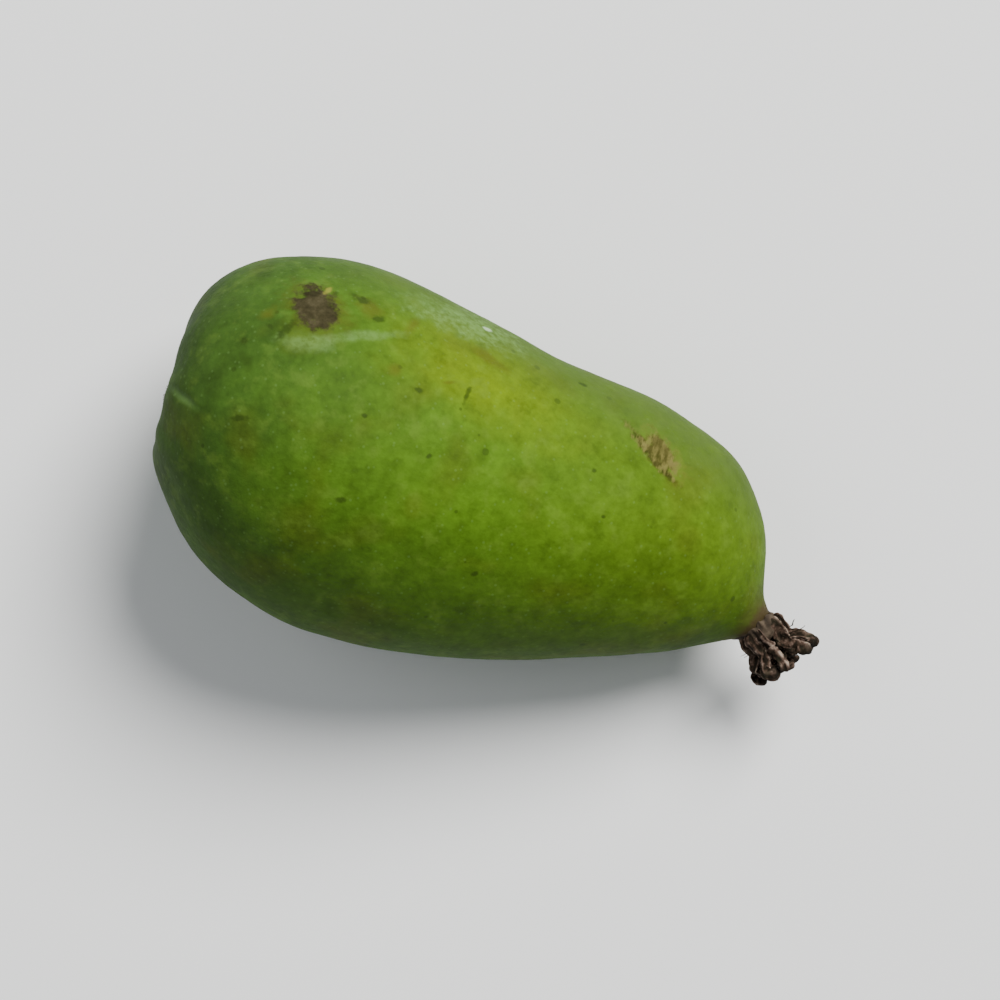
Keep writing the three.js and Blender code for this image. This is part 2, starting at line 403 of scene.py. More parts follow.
def skin_relief_tree(material):
    """Moves the skin in and out: swells, dimples, grain, puckers, wrinkles and marks."""
    tree, graph, size = geometry_tree("skin_relief", SKIN_RELIEF)
    where = graph.stretch(graph.node("GeometryNodeInputPosition"), 1 / MM)
    marks = skin_marks(graph, where, graph.tears(where))
    swell = graph.times(graph.scale(graph.noise(where, 8.0, 1.0), -1, 1), size["Swell Height"])
    dimple = graph.times(graph.scale(graph.noise(where, 2.6, 2.0), -1, 1), size["Dimple Height"])
    grain = graph.times(graph.scale(graph.noise(where, 0.6, 2.0), -1, 1), size["Grain Height"])
    out, turn = about_stub(graph, where)
    sway = graph.scale(graph.noise(where, 4.0, 1.0), -2.2, 2.2)
    lobes = graph.math("SINE", graph.add(graph.times(turn, PUCKERS), sway))
    stalk_end = graph.step(graph.parts(where)[0], STUB[0] + 7.5, STUB[0] + 1.0)
    pucker = graph.times(lobes, stalk_end, graph.step(out, 0.8, 3.0), size["Pucker Depth"])
    crust = graph.scale(graph.noise(where, 0.45, 3.0, 0.7), 0.2, 1.4)
    scab = graph.times(marks["scab"], crust, size["Scab Height"])
    ridge = graph.scale(rub_ridges(graph, where), -0.35, 1.0)
    rub = graph.times(marks["rub"], ridge, size["Rub Height"])
    crease = graph.times(marks["crease"], size["Crease Depth"], -1.0)
    near_boss = graph.vector("DISTANCE", where, tuple(BOSS), output=1)
    neck = graph.step(near_boss, 4.2, 1.6)
    folds = graph.scale(graph.noise(where, 0.7, 3.0, 0.6), -1, 1)
    wrinkle = graph.times(neck, folds, size["Neck Wrinkle Depth"])
    height = graph.add(swell, dimple, grain, pucker, scab, rub, crease, wrinkle)
    rise = graph.stretch(graph.node("GeometryNodeInputNormal"), graph.times(height, MM))
    moved = graph.node("GeometryNodeSetPosition", {0: size["Geometry"], "Offset": rise})
    end_tree(graph, moved, material)
    return tree


# ---- materials ---------------------------------------------------------------------------------

SHADE_GREEN = linear("334a1d")
DEEP_GREEN = linear("39551c")
LEAF_GREEN = linear("456418")
MID_GREEN = linear("4a6b13")
LIME_GREEN = linear("647806")
BEAK_GREEN = linear("4f6b12")
UNDER_GREEN = linear("43612d")
OLIVE = linear("46481f")
NECK_BROWN = linear("453a26")
PALE_GREEN = linear("74913a")
WAX = linear("759a58")
# Painted rim sheen and shade over a wax bloom: the dull grey-green of the far flank.
WAX_BLOOM_AND_RIM_SHEEN = linear("455827")
DARK_SPOT = linear("283810")
STAIN = linear("515317")
SCAB_BLACK = linear("282318")
SCAB_BROWN = linear("393324")
SCAB_GREY = linear("4e4735")
RUB_DARK = linear("2d2810")
RUB_MAUVE = linear("544a2a")
RUB_TAN = linear("72693d")
FLECK_YELLOW = linear("818331")
# Painted highlight: the white of a small glint.
WHITE_GLINT = linear("a7c09b")


def berry_skin_material():
    made, graph, shader = new_material("berry_skin")
    where = object_mm(graph)
    tear = graph.tears(where)
    fine, medium, broad = tear[FINE_TEAR], tear[TEAR], tear[BROAD_TEAR]
    marks = skin_marks(graph, where, tear)
    top = marks["top"]
    x, y, z = graph.parts(where)

    def paint(under, share, colour, *masks):
        """Lays a colour over another where the masks let it."""
        return graph.mix(graph.times(share, *masks), under, colour)

    # Broad zones from the stalk end to the beak.
    ends = {"Value": x, "From Min": float(BERRY_LOW[0]), "From Max": float(BERRY_HIGH[0])}
    along = graph.add(graph.node("ShaderNodeMapRange", ends), graph.times(broad, 0.07))
    colour = graph.ramp(
        along,
        (0.0, SHADE_GREEN),
        (0.13, DEEP_GREEN),
        (0.3, LEAF_GREEN),
        (0.52, MID_GREEN),
        (0.8, BEAK_GREEN),
    )
    lime = graph.patch(where, broad, LIME, (10.5, 4.4), -12, 0.5, 0.95)
    colour = paint(colour, 0.75, LIME_GREEN, lime, top)
    low = graph.step(graph.add(z, graph.times(y, 0.5)), 11.0, 1.0)
    colour = paint(colour, 0.5, UNDER_GREEN, low)
    shaded = graph.step(graph.add(y, graph.times(x, -0.12), graph.times(broad, 1.5)), 0.5, -8.0)
    colour = paint(colour, 0.55, SHADE_GREEN, shaded)
    warm = graph.noise(where, 4.5, 2.0, 0.5, 13.0)
    colour = paint(colour, 0.3, STAIN, graph.step(warm, 0.5, 0.72))

    # Mottling at three sizes, darker patches, pores and freckles.
    mottle = graph.add(
        1.0, graph.times(broad, 0.24), graph.times(medium, 0.36), graph.times(fine, 0.26)
    )
    colour = graph.stretch(colour, mottle)
    blotch_seed = graph.noise(where, 1.5, 3.0, 0.65, 7.0)
    colour = paint(colour, 0.42, DARK_SPOT, graph.step(blotch_seed, 0.52, 0.8))
    colour = paint(colour, 0.16, PALE_GREEN, graph.step(blotch_seed, 0.5, 0.28))
    pores = graph.step(graph.cells(where, 0.62), 0.2, 0.1)
    colour = paint(colour, 0.12, WAX, pores)
    freckle_size = graph.scale(graph.parts(graph.cells(where, 1.7, 1))[0], -0.1, 0.13)
    freckles = graph.math("SUBTRACT", graph.cells(where, 1.7), freckle_size)
    colour = paint(colour, 0.5, DARK_SPOT, graph.step(freckles, 0.05, 0.0))

    # Wax: a bloom on the far flank, partly wax and partly a painted sheen and shade of that rim, and a
    # streak that was wiped across it.
    # Painted sheen and shade: the far flank is dulled to grey-green, in patches.
    flank = graph.step(graph.add(y, graph.times(x, 0.25)), 6.0, 11.0)
    colour = paint(colour, 0.75, WAX_BLOOM_AND_RIM_SHEEN, flank, graph.step(medium, -1.1, 0.4))
    scuffs = graph.patch(where, medium, SCUFFS, (5.4, 1.3), -4, 0.7, 0.6)
    scuffs = graph.times(scuffs, top, graph.step(fine, -0.5, 0.5))
    colour = paint(colour, 0.5, WAX, scuffs)
    # Painted highlight: a small white glint on the scuffed wax.
    spot = graph.patch(where, fine, SCUFF_GLINT, (0.4, 0.14), -8, 0.5, 0.6)
    colour = paint(colour, 0.8, WHITE_GLINT, spot, top)
    for place, half_length, half_width, turn in STREAKS:
        streak = graph.patch(where, medium, place, (half_length, half_width), turn, 0.7, 0.7)
        colour = paint(colour, 0.34, WAX, streak, top, graph.step(fine, -0.8, 0.3))

    # Stains and blots.
    for place, half_length, half_width, turn in STAINS:
        stain = graph.patch(where, medium, place, (half_length, half_width), turn, 0.6, 0.9)
        colour = paint(colour, 0.6, STAIN, stain, top)
    for place, half_length, half_width, turn in BLOTS:
        blot = graph.patch(where, fine, place, (half_length, half_width), turn, 0.6, 0.7)
        colour = paint(colour, 0.7, DARK_SPOT, blot, top)
    # Painted reflection: a pale stroke along the shallow crease at the stalk end.
    colour = paint(colour, 0.32, WAX, marks["crease"])

    # The scab and the rub marks.
    colour = paint(colour, 0.55, STAIN, marks["halo"])
    crust = graph.ramp(
        graph.noise(where, 0.9, 5.0, 0.62, 2.0),
        (0.38, SCAB_BLACK),
        (0.54, SCAB_BROWN),
        (0.72, SCAB_GREY),
    )
    colour = paint(colour, 0.94, crust, marks["scab"])
    fleck = graph.patch(where, fine, FLECK, (0.26, 0.4), -35, 0.7, 0.8)
    colour = paint(colour, 0.75, FLECK_YELLOW, fleck, top)
    rubbed = graph.mix(rub_ridges(graph, where), RUB_DARK, RUB_TAN)
    inner = graph.patch(where, fine, RUB_LOBE, (2.0, 1.1), RUB_TURN, 0.4, 0.9)
    rubbed = paint(rubbed, 0.75, RUB_MAUVE, inner, graph.step(medium, -0.6, 0.3))
    colour = paint(colour, 0.3, FLECK_YELLOW, marks["rub_halo"])
    colour = paint(colour, 0.85, rubbed, marks["rub"])

    # The hollow round the stalk and the neck under the tuft turn olive, then brown.
    out, _ = about_stub(graph, where)
    at_stalk = graph.step(x, STUB[0] + 4.0, STUB[0] + 1.0)
    ring = graph.step(graph.add(out, graph.times(medium, 0.6)), 2.8, 1.2)
    colour = paint(colour, 0.6, OLIVE, ring, at_stalk)
    near_boss = graph.vector("DISTANCE", where, tuple(BOSS), output=1)
    near_boss = graph.add(near_boss, graph.times(medium, 0.5), graph.times(fine, 0.35))
    colour = paint(colour, 0.7, OLIVE, graph.step(near_boss, 3.9, 2.2))
    colour = paint(colour, 0.92, NECK_BROWN, graph.step(near_boss, 2.4, 1.6))

    dry = graph.most(marks["scab"], marks["rub"])
    rough = graph.add(graph.times(medium, 0.05), 0.62, graph.times(dry, 0.28))
    relief = graph.add(
        graph.times(graph.noise(where, 0.35, 4.0, 0.6), 0.7), graph.times(graph.cells(where, 0.5), 0.25)
    )
    finish_surface(graph, shader, colour, rough, relief, 0.05)
    set_constants(shader, specular_ior_level=0.05)
    return made


def dried_style_material():
    """Dried styles: darker in the grooves and paler on the ridges, partly as painted shade and highlight,
    and nearly black at the tips.
    """
    made, graph, shader = new_material("dried_style")
    where = object_mm(graph)
    ridge = graph.node("ShaderNodeAttribute", output="Fac", attribute_name="ridge")
    along = graph.node("ShaderNodeAttribute", output="Fac", attribute_name="along")
    around = graph.node("ShaderNodeAttribute", output="Fac", attribute_name="around")
    lengthwise = {"X": graph.times(around, 1 / 0.09), "Y": graph.times(along, 4.0)}
    fibres = graph.noise(graph.node("ShaderNodeCombineXYZ", lengthwise), 1.0, 3.0, 0.65)
    torn = graph.noise(where, 0.3, 4.0, 0.75)
    # Paler where ridge is high and darker where it is low: painted highlight and shade, mixed with the torn
    # and fibrous tone.
    lift = graph.add(ridge, graph.scale(torn, -0.4, 0.4), graph.scale(fibres, -0.4, 0.4))
    colour = graph.ramp(
        lift,
        (0.12, linear("1e1810")),
        (0.36, linear("43342a")),
        (0.6, linear("66544a")),
        (0.88, linear("9b8a7a")),
    )
    olive = graph.step(graph.noise(where, 0.9, 2.0, 0.5, 4.0), 0.5, 0.75)
    colour = graph.mix(graph.times(olive, 0.4), colour, linear("3c3c2c"))
    tip = graph.step(graph.add(along, graph.scale(torn, -0.1, 0.1)), 0.84, 0.95)
    colour = graph.mix(graph.times(tip, 0.93), colour, linear("18140c"))
    relief = graph.add(graph.noise(where, 0.12, 4.0, 0.7), graph.times(fibres, 1.2))
    rough = graph.scale(torn, 0.68, 0.95)
    finish_surface(graph, shader, colour, rough, relief, 0.05)
    set_constants(shader, specular_ior_level=0.1)
    return made


def woody_material(name, dark, middle_tone, pale, grain):
    """Dry woody tissue with a grain of that size. It is paler where its ridge attribute is high and darker
    where it is low, partly as painted highlight and shade.
    """
    made, graph, shader = new_material(name)
    where = object_mm(graph)
    ridge = graph.node("ShaderNodeAttribute", output="Fac", attribute_name="ridge")
    torn = graph.noise(where, grain, 4.0, 0.7)
    lift = graph.add(graph.times(ridge, 0.55), graph.times(torn, 0.6))
    colour = graph.ramp(lift, (0.25, dark), (0.55, middle_tone), (0.85, pale))
    relief = graph.noise(where, 0.4 * grain, 4.0, 0.7, 3.0)
    finish_surface(graph, shader, colour, graph.scale(torn, 0.72, 0.95), relief, 0.05)
    set_constants(shader, specular_ior_level=0.22)
    return made


def floor_material():
    made, graph, shader = new_material("pale_floor")
    where = object_mm(graph)
    haze = graph.noise(where, 60.0, 2.0)
    colour = graph.mix(haze, linear("f5f6f6"), linear("f8f9f9"))
    finish_surface(graph, shader, colour, graph.scale(haze, 0.5, 0.6), haze, 0.02)
    return made


# ---- meshes -------------------------------------------------------------------------------------


def merged(node):
    """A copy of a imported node's mesh in which shared corners are joined."""
    shape = bmesh.new()
    shape.from_mesh(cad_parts[node].data)
    bmesh.ops.remove_doubles(shape, verts=shape.verts, dist=WELD)
    return shape


def add_thing(name, points, faces, material, values=None):
    """A smooth piece from points in millimetres, with a number for each point in values."""
    mesh = bpy.data.meshes.new(name)
    mesh.from_pydata((np.asarray(points) * MM).tolist(), [], faces)
    for key, numbers in (values or {}).items():
        attribute = mesh.attributes.new(key, "FLOAT", "POINT")
        attribute.data.foreach_set("value", np.asarray(numbers, np.float32))
    mesh.materials.append(material)
    mesh.shade_smooth()
    thing = bpy.data.objects.new(name, mesh)
    bpy.context.scene.collection.objects.link(thing)
    return thing


def declare(thing, slot, *nodes):
    """The thing belongs to the berry's body and stands for those nodes. slot is not used."""
    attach(thing, BODY)
    if nodes:
        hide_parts(*nodes)


def ripple(points, size, shift=0.0):
    """Soft noise from -1 to 1 at each point."""
    moved = np.asarray(points) / size + shift
    return np.array([noise.noise(Vector(point)) for point in moved.reshape(-1, 3)]).reshape(
        moved.shape[:-1]
    )


def spline(points, count):
    """count points, evenly far apart, on a smooth curve through points."""
    points = np.asarray(points, float)
    padded = np.vstack([2 * points[0] - points[1], points, 2 * points[-1] - points[-2]])
    spans = len(points) - 1
    place = np.linspace(0, spans - 1e-9, 6 * count)
    start = place.astype(int)
    t = (place - start)[:, None]
    a, b, c, d = (padded[start + k] for k in range(4))
    curve = 0.5 * (2 * b + (c - a) * t + (2 * a - 5 * b + 4 * c - d) * t**2 + (3 * b - a - 3 * c + d) * t**3)
    reach = np.append(0, np.cumsum(np.linalg.norm(np.diff(curve, axis=0), axis=1)))
    even = np.linspace(0, reach[-1], count)
    return np.stack([np.interp(even, reach, curve[:, axis]) for axis in range(curve.shape[1])], axis=1)


def ring_faces(count, sides):
    """Faces between rings of corners, each ring closed by a fan to a point at its own end of the
    list: the last corner but one for the first ring, and the last corner for the last ring."""

    def corner(ring, place):
        return ring * sides + place % sides

    first, last, end = count * sides, count * sides + 1, count - 1
    faces = []
    for j in range(sides):
        for k in range(end):
            faces.append((corner(k, j), corner(k, j + 1), corner(k + 1, j + 1), corner(k + 1, j)))
        faces.append((first, corner(0, j + 1), corner(0, j)))
        faces.append((last, corner(end, j), corner(end, j + 1)))
    return faces


def sweep(path, sections):
    """Points and faces of a closed skin round a path. sections holds, for each point of the
    path, a ring of offsets across it and above it."""
    path = np.asarray(path, float)
    ways = np.gradient(path, axis=0)
    ways /= np.linalg.norm(ways, axis=1, keepdims=True)
    across = unit(np.cross(ways[0], (0.31, 0.22, 0.93)))
    frames = []
    for way in ways:
        across = unit(across - way * (across @ way))
        frames.append((across, np.cross(way, across)))
    frames = np.array(frames)
    rings = path[:, None] + sections[..., :1] * frames[:, None, 0] + sections[..., 1:] * frames[:, None, 1]
    points = np.vstack([rings.reshape(-1, 3), rings[0].mean(0), rings[-1].mean(0)])
    return points, ring_faces(*sections.shape[:2])


# ---- the berry's skin ---------------------------------------------------------------------------

SKIN_GRID = 126  # squares along each edge of the cube that is projected
SKIN_SUBDIVISIONS = 3
SKIN_SMOOTHING = 5


def smooth_berry():
    """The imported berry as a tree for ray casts, with its facets rounded off, in millimetres."""
    shape = merged("berry")
    bmesh.ops.join_triangles(
        shape, faces=shape.faces, angle_face_threshold=math.pi, angle_shape_threshold=math.pi
    )
    mesh = bpy.data.meshes.new("rounded")
    shape.to_mesh(mesh)
    thing = bpy.data.objects.new("rounded", mesh)
    bpy.context.scene.collection.objects.link(thing)
    rounding = thing.modifiers.new("rounding", "SUBSURF")
    rounding.levels = rounding.render_levels = SKIN_SUBDIVISIONS
    evaluated = thing.evaluated_get(bpy.context.evaluated_depsgraph_get())
    rounded = bmesh.new()
    rounded.from_mesh(evaluated.data)
    bmesh.ops.scale(rounded, vec=(1 / MM,) * 3, verts=rounded.verts)
    tree = BVHTree.FromBMesh(rounded)
    bpy.data.objects.remove(thing)
    return tree


def cube_grid(grid):
    """Points and faces of a cube's surface, each point given once, spread for projection."""
    steps = np.tan(np.linspace(-1, 1, grid + 1) * math.pi / 4)
    points, index, faces = [], {}, []

    def corner(place):
        if place not in index:
            index[place] = len(points)
            points.append([steps[k] for k in place])
        return index[place]

    for axis in range(3):
        for end in (0, grid):
            for i in range(grid):
                for j in range(grid):
                    ring = [(i, j), (i + 1, j), (i + 1, j + 1), (i, j + 1)]
                    if end == 0:
                        ring.reverse()
                    face = []
                    for a, b in ring:
                        place = [0, 0, 0]
                        place[axis], place[(axis + 1) % 3], place[(axis + 2) % 3] = end, a, b
                        face.append(corner(tuple(place)))
                    faces.append(face)
    return np.array(points), faces


def berry_skin(rounded):
    """An even grid wrapped on the rounded berry, then given its relief."""
    points, faces = cube_grid(SKIN_GRID)
    centre = Vector((BERRY_LOW + BERRY_HIGH) / 2)
    wrapped = [rounded.ray_cast(centre, Vector(point * BERRY_SIZE).normalized())[0] for point in points]
    thing = add_thing("berry_skin", wrapped, faces, skin)
    settle = thing.modifiers.new("settle", "SMOOTH")
    settle.factor, settle.iterations = 0.5, SKIN_SMOOTHING
    settled = thing.evaluated_get(bpy.context.evaluated_depsgraph_get())
    thing.data = bpy.data.meshes.new_from_object(settled)
    thing.modifiers.clear()
    run_tree(thing, skin_relief_tree(skin), SKIN_RELIEF)
    for vertex in thing.data.vertices:
        vertex.co.z = max(vertex.co.z, 0.0)
    declare(thing, "skin", "berry")


# ---- dried styles -------------------------------------------------------------------------------

STYLE_RINGS = 84
STYLE_SIDES = 30
OUTER_HALF_WIDTH = 0.54
INNER_HALF_WIDTH = 0.5
STYLE_HALF_THICKNESS = 0.14
OUTER_CURL, INNER_CURL = 4.6, 1.8  # radians: the most that a style's tip is curled
STYLE_END = 0.5005  # from the middle to where a style closes, as a share: just past its last ring
TIP_CURL_RADIUS = 0.32
TIP_KNOB = 0.9  # where along the style its stigma swells


def ring_centres(node):
    """Points along the middle of a packed tube, from the end that is nearer the boss. The two
    ends are the corners that most edges meet in, and each ring is one step from the last."""
    shape = merged(node)
    most = max(len(vertex.link_edges) for vertex in shape.verts)
    ends = [vertex for vertex in shape.verts if len(vertex.link_edges) == most]
    boss = Vector(BOSS * MM)
    ring = {min(ends, key=lambda vertex: (vertex.co - boss).length)}
    seen, centres = set(ring), []
    while ring:
        centres.append(np.mean([vertex.co for vertex in ring], axis=0) / MM)
        around = {edge.other_vert(vertex) for vertex in ring for edge in vertex.link_edges}
        ring = around - seen
        seen |= ring
    return np.array(centres)


def curled(path, radius, turn, steps):
    """The path with a curl of that radius and turn, in radians, after its end."""
    way = unit(path[-1] - path[-2])
    bend = path[-1] - 2 * path[-3] + path[-5]
    inward = unit(bend - way * (bend @ way) + 1e-4)
    angles = np.linspace(0, turn, steps + 1)[1:, None]
    curl = path[-1] + radius * (np.sin(angles) * way + (1 - np.cos(angles)) * inward)
    return np.vstack([path, curl])


def style_path(node, draw):
    """The middle line of a dried style: it clings to the boss, spreads, and curls up."""
    centres = ring_centres(node)
    outer = node.startswith("outer")
    curl = draw.uniform(0.3, 1.0)  # the more it is curled, the less of its length spreads
    spread = centres[: round(len(centres) * (0.92 - 0.34 * curl))]
    turn = curl * (OUTER_CURL if outer else INNER_CURL)
    if outer:
        foot = spread[0] - BOSS
        out = unit(foot - TUFT_WAY * (foot @ TUFT_WAY))
        clinging = [BOSS + 1.1 * out - 0.55 * TUFT_WAY, BOSS + 1.32 * out - 0.05 * TUFT_WAY]
        spread = np.vstack([clinging, spread[2:] + 0.1 * out])
    path = spline(curled(spread, TIP_CURL_RADIUS * draw.uniform(0.85, 1.35), turn, 6), STYLE_RINGS)
    share = np.linspace(0, 1, STYLE_RINGS)
    kinks = [ripple(path, 0.75, shift) for shift in draw.uniform(0, 90, 3)]
    return path + 0.2 * np.stack(kinks, axis=1) * (share**0.7)[:, None]


def dried_style(node, index):
    """One dried style along its packed tube: a shrivelled, folded ribbon with a curled tip."""
    outer = node.startswith("outer")
    draw = np.random.default_rng(100 + index)
    half_width = (OUTER_HALF_WIDTH if outer else INNER_HALF_WIDTH) * draw.uniform(0.85, 1.15)
    path = style_path(node, draw)
    share = np.linspace(0, 1, STYLE_RINGS)
    angle = np.linspace(0, 2 * math.pi, STYLE_SIDES, endpoint=False)[None, :]
    along = share[:, None]
    knob = np.exp(-(((along - TIP_KNOB) / 0.08) ** 2))
    swell = 1 - 0.45 * along + 0.6 * knob + 0.25 * ripple(path, 0.6, index)[:, None]
    closing = np.sqrt(1 - ((along - 0.5) / STYLE_END) ** 12)
    fold = draw.uniform(0.5, 1.1) * np.sin(math.pi * along) * draw.choice([-1, 1])
    grooves = np.cos(draw.integers(3, 6) * angle + 3.5 * along + draw.uniform(0, 6))
    grooves = 0.5 + 0.5 * grooves * (1 - 0.85 * knob)
    thickness = STYLE_HALF_THICKNESS * (1 + 1.8 * knob)
    across = half_width * swell * np.cos(angle) * (0.84 + 0.16 * grooves)
    above = thickness * np.sin(angle) * (0.6 + 0.7 * grooves)
    above = above + fold * half_width * ((across / half_width) ** 2 - 0.35)
    twist = draw.uniform(0, 6.3) + draw.uniform(-2.2, 2.2) * along
    sections = np.stack(
        [
            closing * (across * np.cos(twist) - above * np.sin(twist)),
            closing * (across * np.sin(twist) + above * np.cos(twist)),
        ],
        axis=-1,
    )
    points, faces = sweep(path, sections)
    centre = np.vstack([np.repeat(path, STYLE_SIDES, axis=0), path[0], path[-1]])
    outward = points - centre
    reach = np.linalg.norm(outward, axis=1)
    outward *= (np.minimum(1, reach / 0.12) / (reach + 1e-9))[:, None]
    crumple = ripple(points, 0.33, 40.0 + index)
    grain = ripple(points, 0.13, 70.0 + index)
    points = points + outward * (0.08 * crumple + 0.035 * grain)[:, None]
    # Painted highlight and shade: ridge is high where the ribbon bulges out and at its edges, and low in its
    # grooves.
    edge = np.abs(np.cos(angle)) ** 3 + 0 * along
    ridge = np.append((0.42 * grooves + 0.35 * edge).ravel(), [0.3, 0.3])
    ridge = np.clip(ridge + 0.5 * crumple + 0.25 * grain, 0, 1)
    values = {
        "ridge": ridge,
        "along": np.append(np.repeat(share, STYLE_SIDES), [0.0, 1.0]),
        "around": np.append((across + 0.3 * above + 0.5 * index).ravel(), [0.0, 0.0]),
    }
    thing = add_thing("dried_" + node, points, faces, dried, values)
    declare(thing, "dried_style", node)


# ---- boss, collar and filaments ------------------------------------------------------------------

COLLAR_ANGLES = 150
COLLAR_STEPS = 26
# Heights above the middle of the boss.
COLLAR_MARGIN = -0.85  # where the torn margin lies on the neck
COLLAR_TOP = 0.62
COLLAR_ON_NECK = -0.2  # the collar follows the neck below this
CAP_RADIUS = 1.22
CAP_HEIGHT = 0.66


def tuft_frame():
    """Two directions square to the tuft's axis."""
    across = unit(np.cross(TUFT_WAY, (0.0, 0.0, 1.0)))
    return across, np.cross(TUFT_WAY, across)


def withered_collar(rounded):
    """Withered tissue that wraps the end of the neck and the boss, with a torn margin."""
    across, up = tuft_frame()
    angles = np.linspace(0, 2 * math.pi, COLLAR_ANGLES, endpoint=False)
    rings, ridges = [], []
    circle = np.stack([np.cos(angles), np.sin(angles), 0 * angles], axis=-1)
    margin = COLLAR_MARGIN + 0.4 * ripple(2 * circle, 0.55, 7)
    for step in range(COLLAR_STEPS):
        share = step / (COLLAR_STEPS - 1)
        ring, ridge = [], []
        for angle, start in zip(angles, margin):
            out = math.cos(angle) * across + math.sin(angle) * up
            height = start + share * (COLLAR_TOP - start)
            axis_point = BOSS + height * TUFT_WAY
            far = axis_point + 4.0 * out
            hit = rounded.ray_cast(Vector(far), Vector(-out), 4.0)[0]
            neck = np.linalg.norm(np.array(hit) - axis_point) if hit else 0.0
            cap = CAP_RADIUS * math.sqrt(max(0.0, 1 - max(0.0, height / CAP_HEIGHT) ** 2.4))
            radius = max(neck if height < COLLAR_ON_NECK else 0.0, cap)
            place = Vector((4.5 * math.cos(angle), 4.5 * math.sin(angle), 1.1 * height))
            frill = noise.noise(place)
            radius += 0.06 + 0.13 * frill * math.sin(math.pi * min(1, 0.15 + share))
            radius += -0.1 * (1 - min(1, share * 9))
            ring.append(axis_point + radius * out)
            # ridge follows the frill: paler where the tissue bulges out and darker where it folds in, as
            # painted highlight and shade.
            ridge.append(0.45 + 0.8 * frill)
        rings.append(ring)
        ridges.append(ridge)
    rings = np.array(rings)
    rough = ripple(rings, 0.35, 3)
    centre = BOSS + ((rings - BOSS) @ TUFT_WAY)[..., None] * TUFT_WAY
    outward = rings - centre
    outward /= np.linalg.norm(outward, axis=-1, keepdims=True) + 1e-9
    rings = rings + outward * (0.05 * rough)[..., None]
    inner = BOSS - 0.35 * TUFT_WAY
    outer = rings[-1].mean(0) + 0.05 * TUFT_WAY
    points = np.vstack([rings.reshape(-1, 3), inner, outer])
    faces = ring_faces(COLLAR_STEPS, COLLAR_ANGLES)
    ridges = np.append(np.clip(np.array(ridges).ravel() + 0.5 * rough.ravel(), 0, 1), [0.2, 0.5])
    thing = add_thing("withered_boss", points, faces, boss_wood, {"ridge": ridges})
    declare(thing, "cork", "style_boss")


KINK_SIZE = 0.7  # how far apart the kinks along a thread are
FILAMENTS = {  # lengths in millimetres
    "Count": 46,
    "Spread": 0.9,
    "Length": 2.1,
    "Thickness": 0.07,
    "Crinkle": 0.6,
}


def filament_tree(name, sizes, material, way, tilt, bend, seed):
    """Crooked tapering threads that stand on a disc at the origin and lean out from way. tilt is
    the least and most lean at the disc's edge, in radians, and bend is how far a thread's tip
    bends over, as a share of its length."""
    tree, graph, size = geometry_tree(name, sizes)

    def metres(value):
        return graph.times(value, MM)

    def random(low, high, extra):
        ends = {2: low, 3: high, 8: seed + extra}
        return graph.node("FunctionNodeRandomValue", ends, 1, data_type="FLOAT")

    def point(x, y, z):
        return graph.node("ShaderNodeCombineXYZ", {"X": x, "Y": y, "Z": z})

    # One thread, standing up from the origin and bending over towards X.
    length = metres(size["Length"])
    curve = {
        "Resolution": 16,
        "Start": (0.0, 0.0, 0.0),
        "Middle": point(0.0, 0.0, graph.times(length, 0.6)),
        "End": point(graph.times(length, bend), 0.0, graph.times(length, 0.95)),
    }
    line = graph.node("GeometryNodeCurveQuadraticBezier", curve)
    round_section = {"Resolution": 6, "Radius": metres(size["Thickness"])}
    ring = graph.node("GeometryNodeCurvePrimitiveCircle", round_section)
    taper = graph.scale(graph.node("GeometryNodeSplineParameter"), 1.0, 0.35)
    thread = graph.node("GeometryNodeCurveToMesh", {0: line, 1: ring, "Scale": taper, "Fill Caps": True})

    # Its copies stand all over the disc, and lean the more the nearer they are to its edge.
    turn = random(0.0, 2 * math.pi, 1)
    out = graph.times(graph.math("SQRT", random(0.02, 1.0, 2)), metres(size["Spread"]))
    x = graph.times(graph.math("COSINE", turn), out)
    y = graph.times(graph.math("SINE", turn), out)
    foot = point(x, y, 0.0)
    feet = graph.node("GeometryNodePoints", {"Count": size["Count"], "Position": foot})
    lean = graph.times(random(tilt[0], tilt[1], 3), graph.math("DIVIDE", out, metres(size["Spread"])))
    aim = graph.node("FunctionNodeEulerToRotation", {0: point(0.0, lean, turn)})
    stretch = random(0.55, 1.15, 4)
    stand = {0: feet, "Instance": thread, "Rotation": aim, "Scale": stretch}
    threads = graph.node("GeometryNodeInstanceOnPoints", stand)
    threads = graph.node("GeometryNodeRealizeInstances", {0: threads})

    # Noise bends each of them in its own way.
    where = graph.stretch(graph.node("GeometryNodeInputPosition"), 1 / MM)
    kinks = graph.node("ShaderNodeTexNoise", {"Vector": where, "Scale": 1 / KINK_SIZE}, 1)
    kinks = graph.stretch(graph.vector("SUBTRACT", kinks, (0.5, 0.5, 0.5)), metres(size["Crinkle"]))
    threads = graph.node("GeometryNodeSetPosition", {0: threads, "Offset": kinks})
    facing = Vector(way).to_track_quat("Z", "Y").to_euler()
    threads = graph.node("GeometryNodeTransform", {0: threads, "Rotation": facing})
    end_tree(graph, threads, material)
    return tree


def threads_piece(name, slot, sizes, material, foot, way, tilt, bend, seed):
    """Runs a filament tree and moves its threads to their foot."""
    thing = add_thing(name, [(0, 0, 0)], [], material)
    run_tree(thing, filament_tree(name, sizes, material, way, tilt, bend, seed), sizes)
    for vertex in thing.data.vertices:
        vertex.co += Vector(foot * MM)
    declare(thing, slot)


# ---- stalk stub -----------------------------------------------------------------------------------

STUB_SIDES = 96
STUB_RINGS = 64
FACE_START = 0.62  # share of the rings, after which they are on the broken face
